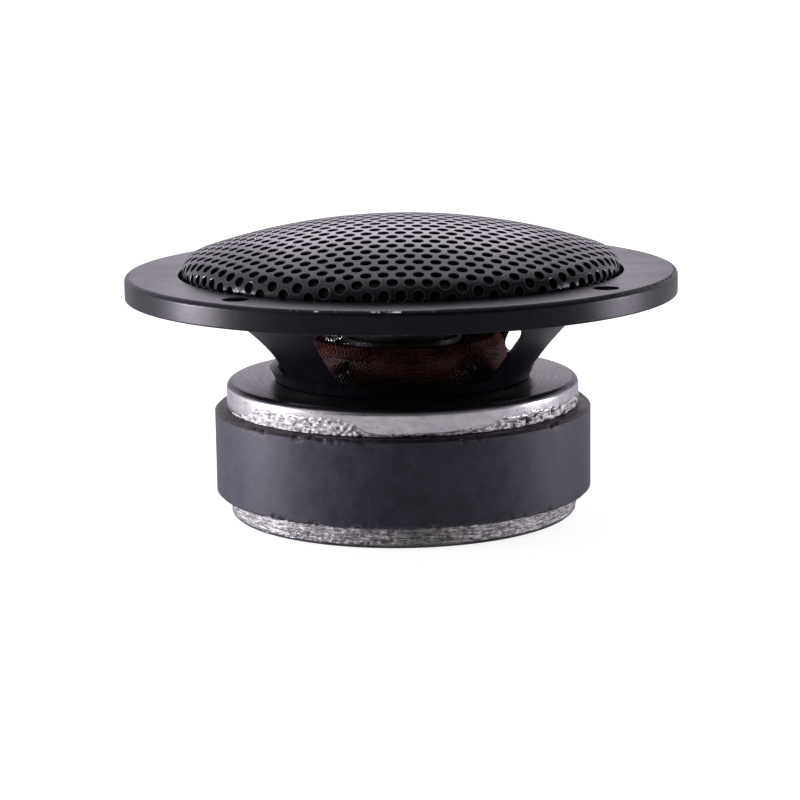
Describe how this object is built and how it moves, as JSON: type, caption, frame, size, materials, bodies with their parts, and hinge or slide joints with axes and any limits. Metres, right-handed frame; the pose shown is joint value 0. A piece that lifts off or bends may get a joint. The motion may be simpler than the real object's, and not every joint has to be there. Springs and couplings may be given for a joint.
{
  "type": "car tweeter",
  "caption": "Round car speaker driver: domed perforated grille on a screw flange, open windowed basket, sprung cone with a cloth damper and a ring-magnet motor.",
  "frame": {"origin": "centre of the back plate's rear face, which the driver stands on", "axes": "+Z along the driver's axis towards the grille, -Y the side away from the terminals"},
  "size_m": [0.102, 0.102, 0.055],
  "materials": {
    "black_basket": "satin black enamel, worn bright at the flange's edge",
    "black_grille": "satin black enamel on perforated sheet",
    "scrim_cloth": "thin black acoustic cloth",
    "gasket_board": "pressed black board",
    "surround_cloth": "doped cloth half roll",
    "spider_cloth": "open-weave cloth stiffened with brown resin",
    "zinc_plate": "zinc-plated punched steel, stained and scratched",
    "ferrite": "sintered ferrite, dull dark grey",
    "bare_steel": "turned steel",
    "glue": "dark cured glue",
    "zinc_rivet": "zinc-plated steel",
    "board_laminate": "brown paper laminate",
    "brass_small": "dull brass",
    "terminal_metal": "tinned brass",
    "braid": "braided tinsel wire",
    "cone_paper": "black pressed paper pulp",
    "cap_paper": "black pressed cloth",
    "former_kraft": "kraft paper tube",
    "enamelled_wire": "enamelled copper winding"
  },
  "bodies": {
    "frame": {"basket": "black_basket", "grille": "black_grille", "grille_scrim": "scrim_cloth", "gasket_ring": "gasket_board", "surround": "surround_cloth", "spider": "spider_cloth", "top_plate": "zinc_plate", "magnet": "ferrite", "back_plate": "zinc_plate", "pole_piece": "bare_steel", "front_glue": "glue", "rear_glue": "glue", "basket_rivets": "zinc_rivet", "terminal_board": "board_laminate", "terminal_rivet": "brass_small", "terminal_positive": "terminal_metal", "terminal_negative": "terminal_metal", "lead_positive": "braid", "lead_negative": "braid"},
    "cone_assembly": {"cone": "cone_paper", "dust_cap": "cap_paper", "voice_coil_former": "former_kraft", "voice_coil": "enamelled_wire", "neck_ring": "glue", "lead_eyelets": "brass_small"}
  },
  "joints": [
    {"name": "cone_travel", "type": "slide", "parent": "frame", "child": "cone_assembly", "axis": [0, 0, 1], "range_m": [-0.0015, 0.0015], "stiffness_N_per_m": 1600, "deforming": ["surround", "spider", "lead_positive", "lead_negative"]}
  ]
}
